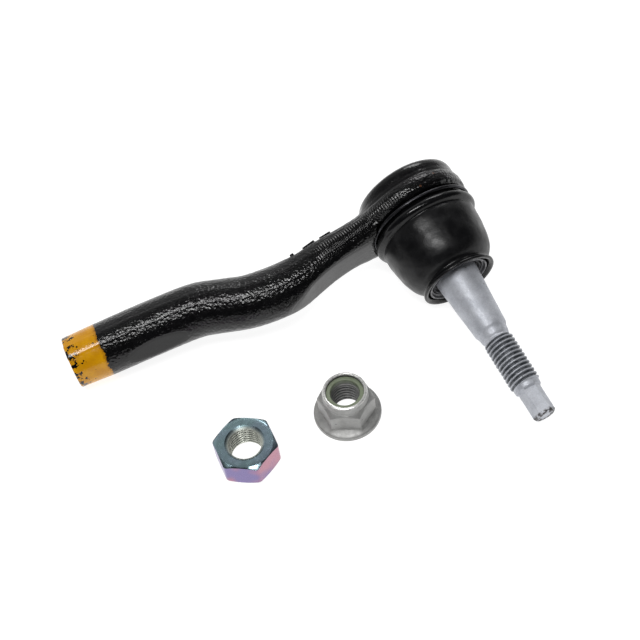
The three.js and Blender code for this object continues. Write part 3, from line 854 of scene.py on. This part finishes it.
class Shader:
    """One Principled material, with short ways to add nodes."""

    def __init__(self, name, **settings):
        self.material = bpy.data.materials.new(name)
        self.material.use_nodes = True
        self.nodes = self.material.node_tree.nodes
        self.surface = self.nodes["Principled BSDF"]
        for socket, value in settings.items():
            self.surface.inputs[socket.replace("_", " ")].default_value = value
        self.place = self.add("ShaderNodeTexCoord").outputs["Object"]

    def add(self, kind, inputs=(), **settings):
        node = self.nodes.new(kind)
        for key, value in settings.items():
            setattr(node, key, value)
        for socket, value in dict(inputs).items():
            if isinstance(value, bpy.types.NodeSocket):
                self.material.node_tree.links.new(value, node.inputs[socket])
            else:
                node.inputs[socket].default_value = value
        return node

    def mark(self, name):
        """A number that the mesh keeps for each of its points."""
        return self.add("ShaderNodeAttribute", attribute_name=name).outputs["Fac"]

    def lumps(self, size_mm, detail=2, rough=0.5):
        """Noise from 0 to 1 with lumps about size_mm across."""
        inputs = {"Vector": self.place, "Scale": 1 / (size_mm * MM), "Detail": detail, "Roughness": rough}
        return self.add("ShaderNodeTexNoise", inputs).outputs["Fac"]

    def along(self, start, direction):
        """How far past start each point lies in a direction, in metres."""
        away = self.add("ShaderNodeVectorMath", {0: self.place, 1: tuple(start)}, operation="SUBTRACT")
        inputs = {0: away.outputs["Vector"], 1: tuple(direction)}
        return self.add("ShaderNodeVectorMath", inputs, operation="DOT_PRODUCT").outputs["Value"]

    def distance(self, middle):
        """How far each point lies from one place, in metres."""
        inputs = {0: self.place, 1: tuple(middle)}
        return self.add("ShaderNodeVectorMath", inputs, operation="DISTANCE").outputs["Value"]

    def cells(self, size_mm, output="Distance"):
        """The distance from the middles of cells about size_mm across, or each cell's own colour."""
        inputs = {"Vector": self.place, "Scale": 1 / (size_mm * MM)}
        return self.add("ShaderNodeTexVoronoi", inputs).outputs[output]

    def math(self, operation, a, b=0):
        return self.add("ShaderNodeMath", {0: a, 1: b}, operation=operation).outputs[0]

    def times(self, a, b):
        return self.math("MULTIPLY", a, b)

    def plus(self, a, b):
        return self.math("ADD", a, b)

    def minus(self, a, b):
        return self.math("SUBTRACT", a, b)

    def ramp(self, value, start, end, low=0, high=1):
        """low where value is start or less, high where it is end or more."""
        inputs = {"Value": value, "From Min": start, "From Max": end, "To Min": low, "To Max": high}
        return self.add("ShaderNodeMapRange", inputs, interpolation_type="SMOOTHSTEP").outputs[0]

    def mix(self, share, a, b):
        a, b = (c if isinstance(c, bpy.types.NodeSocket) else (*c, 1) for c in (a, b))
        return self.add("ShaderNodeMix", {0: share, 6: a, 7: b}, data_type="RGBA").outputs[2]

    def bump(self, height, depth_mm, under=None):
        inputs = {"Height": height, "Distance": depth_mm * MM, "Strength": 1}
        if under:
            inputs["Normal"] = under
        return self.add("ShaderNodeBump", inputs).outputs["Normal"]

    def use(self, **sockets):
        for name, value in sockets.items():
            self.material.node_tree.links.new(value, self.surface.inputs[name.replace("_", " ")])
        return self.material


def forging_paint():
    """Black paint over a blasted forging, with a chipped yellow band at the threaded end."""
    s = Shader("forging_paint", Specular_IOR_Level=0.42)
    worked, sheared, run = (s.mark(name) for name in ("worked", "sheared", "run"))
    rough = s.times(s.ramp(worked, 0, 0.9, 1, 0.1), s.ramp(sheared, 0.2, 0.8, 1, 0.2))
    grain = s.minus(1, s.cells(1.05))
    mixed = s.plus(s.times(grain, 1.2), s.times(s.lumps(0.9, 1, 0.5), 1.3))
    sway = s.times(s.lumps(5, 1), 4)
    ridges = s.math("SINE", s.plus(s.times(run, TURN / RIDGE_SPACING), sway))
    broken = s.times(sheared, s.ramp(s.lumps(1.7, 2), 0.35, 0.6, 0.6, 1))
    height = s.plus(s.times(mixed, rough), s.times(ridges, broken))
    fine = s.bump(s.lumps(0.3, 2), 0.01)
    normal = s.bump(height, 0.1, under=fine)
    # The band: how far each point is from the arm's end
    outward = ROD.to_3x3() @ Vector(ARM_DIRECTION)
    end = ROD @ Vector(ARM_END * MM)
    from_end = s.times(s.along(end, outward), -1)
    ragged = s.times(s.minus(s.lumps(2.6, 4, 0.65), 0.5), 3.2 * MM)
    edge = s.plus(from_end, ragged)
    band = s.ramp(edge, (PAINTED_LENGTH - 0.2) * MM, (PAINTED_LENGTH + 0.1) * MM, 1, 0)
    bias = s.ramp(from_end, 0.5 * MM, 9 * MM, 0.16, 0)
    chips = s.ramp(s.plus(s.lumps(2.1, 5, 0.62), bias), 0.675, 0.69)
    band = s.times(band, s.minus(1, chips))
    rim = s.times(s.ramp(edge, (PAINTED_LENGTH - 1.3) * MM, (PAINTED_LENGTH - 0.1) * MM), band)
    black = s.mix(s.ramp(s.lumps(6, 4), 0.35, 0.7), (0.0018, 0.0018, 0.0022), (0.0035, 0.0035, 0.004))
    yellow = s.mix(s.ramp(s.lumps(5, 4), 0.3, 0.7), (0.76, 0.36, 0.002), (0.64, 0.28, 0.002))
    yellow = s.mix(s.times(rim, 0.55), yellow, (0.25, 0.09, 0.008))
    on_head = s.ramp(s.distance(ROD.translation), 27 * MM, 30 * MM, 1, 0)
    specks = s.times(s.ramp(s.cells(5.5), 0.08, 0.11, 1, 0), s.ramp(s.lumps(19, 1), 0.54, 0.58))
    specks = s.times(specks, on_head)
    colour = s.mix(band, black, yellow)
    colour = s.mix(s.times(specks, 0.8), colour, (0.12, 0.05, 0.024))
    # Bare steel in the threaded hole: nearer than its countersink's radius to the line up its middle
    off_line = s.math("SQRT", s.minus(s.math("POWER", s.distance(end), 2), s.math("POWER", from_end, 2)))
    inside = s.ramp(off_line, (COUNTERSINK_R - 0.1) * MM, (COUNTERSINK_R + 0.1) * MM, 1, 0)
    deep = ARM_BORE_DEPTH + 4
    inside = s.times(inside, s.ramp(from_end, deep * MM, (deep + 2) * MM, 1, 0))
    colour = s.mix(inside, colour, (0.085, 0.08, 0.076))
    gloss = s.ramp(s.lumps(1.6, 3), 0.3, 0.7, 0.16, 0.26)
    return s.use(Base_Color=colour, Roughness=gloss, Normal=normal)


def boot_rubber():
    s = Shader("boot_moulding", Specular_IOR_Level=0.32)
    dusty = s.ramp(s.lumps(7, 5, 0.6), 0.42, 0.72)
    colour = s.mix(dusty, (0.003, 0.003, 0.0036), (0.007, 0.007, 0.008))
    specks = s.ramp(s.times(s.cells(2.6), s.ramp(s.lumps(9), 0.4, 0.6, 3, 1)), 0.03, 0.05, 0.5, 0)
    colour = s.mix(specks, colour, (0.05, 0.042, 0.036))
    gloss = s.ramp(s.lumps(4, 4), 0.3, 0.7, 0.29, 0.42)
    height = s.along(ROD.translation, ROD.col[2].to_3d())
    # The bead and the lip are shinier than the dome
    bead = s.ramp(height, 2.2 * MM, 3 * MM, 0.13, 0)
    lip = s.ramp(height, 23.5 * MM, 24.5 * MM, 0, 0.13)
    gloss = s.minus(gloss, s.plus(bead, lip))
    normal = s.bump(s.lumps(0.5, 3), 0.014, under=s.bump(s.lumps(3.2, 2), 0.12))
    return s.use(Base_Color=colour, Roughness=gloss, Normal=normal)


def zinc_flake(name, light, dark, metallic, gloss_range, polish_above=None):
    """Matte grey zinc flake with small dark specks and painted shade in its thread grooves and holes,
    polished above a height over the bench.
    """
    s = Shader(name, Metallic=metallic)
    cloud = s.ramp(s.lumps(5, 5, 0.6), 0.35, 0.68)
    colour = s.mix(cloud, light, dark)
    flake = s.ramp(s.cells(0.28, "Color"), 0.2, 0.9, 0, 0.22)
    colour = s.mix(flake, colour, (0.2, 0.205, 0.21))
    spots = s.times(s.ramp(s.cells(3.4), 0.07, 0.11, 0.75, 0), s.ramp(s.lumps(8, 1), 0.5, 0.56))
    colour = s.mix(spots, colour, (0.07, 0.07, 0.072))
    # Painted shade: the thread's grooves and the inside of a nut's hole are darkened
    painted_groove_shade = s.times(s.ramp(s.mark("groove"), 0.1, 0.8), s.ramp(s.lumps(2.2, 2), 0.25, 0.6, 0.65, 0.95))
    colour = s.mix(s.times(s.mark("bore"), 0.55), colour, (0.09, 0.09, 0.088))
    colour = s.mix(painted_groove_shade, colour, (0.045, 0.052, 0.06))
    scuffs = s.times(s.mark("worn"), s.ramp(s.lumps(1.3, 3, 0.6), 0.4, 0.55))
    colour = s.mix(scuffs, colour, (0.05, 0.046, 0.045))
    gloss = s.ramp(s.lumps(1.2, 3), 0.3, 0.7, *gloss_range)
    if polish_above:
        height = s.add("ShaderNodeSeparateXYZ", {"Vector": s.place}).outputs["Z"]
        worn = s.ramp(height, polish_above * MM, (polish_above + 0.35) * MM)
        colour = s.mix(s.times(worn, 0.8), colour, (0.78, 0.78, 0.76))
        gloss = s.minus(gloss, s.times(worn, 0.2))
    normal = s.bump(s.lumps(0.35, 3, 0.6), 0.02, under=s.bump(s.lumps(1.8, 2), 0.04))
    return s.use(Base_Color=colour, Roughness=gloss, Normal=normal)


def blue_zinc():
    """Bright blue passivated zinc: green-blue faces, violet and rose flats."""
    s = Shader("blue_zinc_plate")
    facing = s.add("ShaderNodeSeparateXYZ", {"Vector": s.add("ShaderNodeTexCoord").outputs["Normal"]})
    drift = s.minus(s.lumps(9, 3), 0.5)
    tint = s.plus(s.lumps(9, 1), s.times(facing.outputs["X"], 0.1))
    flats = s.mix(s.ramp(tint, 0.32, 0.7), (0.22, 0.18, 0.36), (0.44, 0.21, 0.27))
    faces = s.mix(s.ramp(drift, -0.2, 0.25), (0.30, 0.45, 0.47), (0.36, 0.46, 0.56))
    colour = s.mix(s.ramp(facing.outputs["Z"], 0.25, 0.9), flats, faces)
    # Painted shade: in the hole the thread's grooves go dark, its crests stay light
    hole = s.mix(s.ramp(s.mark("groove"), 0.2, 0.8), (0.66, 0.68, 0.60), (0.10, 0.13, 0.16))
    colour = s.mix(s.mark("bore"), colour, hole)
    gloss = s.ramp(s.lumps(2.5, 3), 0.3, 0.7, 0.22, 0.3)
    normal = s.bump(s.lumps(1.4, 2), 0.003)
    metal = s.ramp(s.mark("bore"), 0, 1, 1, 0.55)
    return s.use(Base_Color=colour, Roughness=gloss, Normal=normal, Metallic=metal)


def plain_metal(name, light, dark, low_gloss, high_gloss, grain_mm=1.4):
    s = Shader(name, Metallic=1)
    colour = s.mix(s.ramp(s.lumps(grain_mm * 2, 5, 0.6), 0.35, 0.65), light, dark)
    gloss = s.ramp(s.lumps(grain_mm, 4), 0.3, 0.7, low_gloss, high_gloss)
    return s.use(Base_Color=colour, Roughness=gloss, Normal=s.bump(s.lumps(grain_mm / 3, 3), 0.012))


def plain_plastic(name, light, dark, low_gloss, high_gloss):
    s = Shader(name)
    colour = s.mix(s.ramp(s.lumps(2.5, 4), 0.35, 0.65), light, dark)
    gloss = s.ramp(s.lumps(1.5, 3), 0.3, 0.7, low_gloss, high_gloss)
    return s.use(Base_Color=colour, Roughness=gloss, Normal=s.bump(s.lumps(0.5, 3), 0.012))


# Pieces in the frame ------------

def finish_piece(piece, material, node):
    piece.data.materials.clear()
    piece.data.materials.append(material)
    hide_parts(node)


paint = forging_paint()
rubber_black = boot_rubber()
stud_zinc = zinc_flake("stud_zinc", (0.62, 0.64, 0.69), (0.50, 0.52, 0.57), 0.4, (0.46, 0.6))
polished_z = COLLAR_HEIGHT - 0.75
nut_zinc = zinc_flake("nut_zinc", (0.43, 0.43, 0.42), (0.34, 0.34, 0.33), 0.5, (0.44, 0.56), polished_z)
ring_steel = plain_metal("ring_steel", (0.06, 0.06, 0.065), (0.03, 0.03, 0.033), 0.3, 0.42)
insert_steel = plain_metal("insert_ring_steel", (0.16, 0.16, 0.165), (0.09, 0.09, 0.095), 0.35, 0.5)
spring_wire = plain_metal("spring_wire", (0.13, 0.13, 0.135), (0.08, 0.08, 0.085), 0.3, 0.45)
plate_zinc = plain_metal("plate_zinc", (0.5, 0.5, 0.5), (0.38, 0.38, 0.39), 0.35, 0.5, grain_mm=2.2)
bearing = plain_plastic("bearing_acetal", (0.66, 0.64, 0.56), (0.58, 0.56, 0.48), 0.35, 0.5)
seal = plain_plastic("seal_ring_rubber", (0.02, 0.02, 0.02), (0.012, 0.012, 0.013), 0.45, 0.6)
nylon = plain_plastic("nylon_green", (0.235, 0.27, 0.19), (0.19, 0.225, 0.15), 0.28, 0.4)

for piece, material, slot, node, body in (
    (forging(), paint, "forging_black_paint", "forged_housing", "housing"),
    (stud(), stud_zinc, "stud_zinc_flake", "ball_stud", "stud"),
    (clamp_ring(), ring_steel, "ring_black_steel", "boot_clamp_ring", "housing"),
    (lip_ring(), insert_steel, "insert_steel", "boot_lip_insert", "boot_collar"),
    (garter_spring(), spring_wire, "spring_steel", "boot_garter_spring", "boot_collar"),
    (closure(), plate_zinc, "plate_steel", "closure_plate", "housing"),
    (jam_nut(), blue_zinc(), "nut_blue_zinc", "jam_nut", "loose_jam_nut"),
    (flange_nut(), nut_zinc, "nut_zinc_flake", "flange_nut", "loose_lock_nut"),
    (nylon_ring(), nylon, "nylon_olive", "nylon_insert", "loose_lock_nut"),
):
    finish_piece(piece, material, node)
    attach(piece, body)

for node, material in (
    ("upper_bearing", bearing),
    ("pressure_cup", bearing),
    ("preload_spring", spring_wire),
    ("closure_seal", seal),
):
    for slot in frame["nodes"][node].material_slots:
        slot.material = material


bell, neck = boot()
for part in (bell, neck):
    finish_piece(part, rubber_black, "dust_boot")
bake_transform(bell)
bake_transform(neck)


# Bench, light and camera ------------

def bench():
    mesh = bpy.data.meshes.new("bench")
    reach = 2.5
    corners = [(-reach, -reach, 0), (reach, -reach, 0), (reach, reach, 0), (-reach, reach, 0)]
    mesh.from_pydata(corners, [], [(0, 1, 2, 3)])
    floor = in_scene("bench", mesh)
    s = Shader("bench_white", Roughness=0.6, Emission_Color=(1, 1, 1, 1), Emission_Strength=0.9)
    colour = s.mix(s.lumps(60, 2), (0.29, 0.29, 0.29), (0.31, 0.31, 0.31))
    mesh.materials.append(s.use(Base_Color=colour))


def softbox(name, direction, distance, width, height, power):
    light = bpy.data.lights.new(name, "AREA")
    light.shape = "RECTANGLE"
    light.size, light.size_y, light.energy = width, height, power
    lamp = in_scene(name, light)
    away = Vector(direction).normalized()
    lamp.location = away * distance
    lamp.rotation_mode = "QUATERNION"
    lamp.rotation_quaternion = away.to_track_quat("Z", "Y")


def studio():
    """A pale room, bright towards +Y and dark on the camera's side."""
    world = bpy.data.worlds.new("studio")
    bpy.context.scene.world = world
    world.use_nodes = True
    nodes, links = world.node_tree.nodes, world.node_tree.links
    place = nodes.new("ShaderNodeTexCoord")
    along = nodes.new("ShaderNodeSeparateXYZ")
    fade = nodes.new("ShaderNodeMapRange")
    fade.interpolation_type = "SMOOTHSTEP"
    for socket, value in (("From Min", 0.05), ("To Min", 0.04), ("To Max", 0.6)):
        fade.inputs[socket].default_value = value
    links.new(place.outputs["Generated"], along.inputs[0])
    links.new(along.outputs["Y"], fade.inputs["Value"])
    links.new(fade.outputs[0], nodes["Background"].inputs["Strength"])
    nodes["Background"].inputs["Color"].default_value = (1, 1, 1, 1)


CAMERA_TARGET = Vector((0.01291, 0.02445, 0))
CAMERA_DISTANCE = 0.59967
CAMERA_HEADING = math.radians(13.7517)
CAMERA_ELEVATION = math.radians(54.17)
CAMERA_ROLL = math.radians(-9.247)
CAMERA_LENS = 84.375


def camera():
    data = bpy.data.cameras.new("camera")
    data.lens, data.sensor_width = CAMERA_LENS, 36
    data.clip_start, data.clip_end = 0.01, 20
    view = in_scene("camera", data)
    bpy.context.scene.camera = view
    out = math.cos(CAMERA_ELEVATION)
    forward = Vector(
        (math.sin(CAMERA_HEADING) * out, math.cos(CAMERA_HEADING) * out, -math.sin(CAMERA_ELEVATION))
    )
    level = forward.cross(Vector((0, 0, 1))).normalized()
    right = level * math.cos(CAMERA_ROLL) + level.cross(forward) * math.sin(CAMERA_ROLL)
    place = Matrix.Identity(4)
    for column, axis in enumerate((right, right.cross(forward), -forward)):
        place.col[column] = (*axis, 0)
    place.translation = CAMERA_TARGET - forward * CAMERA_DISTANCE
    view.matrix_world = place


bench()
softbox("overhead_softbox", (-0.17, -0.2, 0.965), distance=0.9, width=0.55, height=0.14, power=4.9)
softbox("back_softbox", (0.5, 0.9, 0.75), distance=1.1, width=0.5, height=0.3, power=2.6)
studio()
camera()
bpy.context.scene.view_settings.view_transform = "Standard"
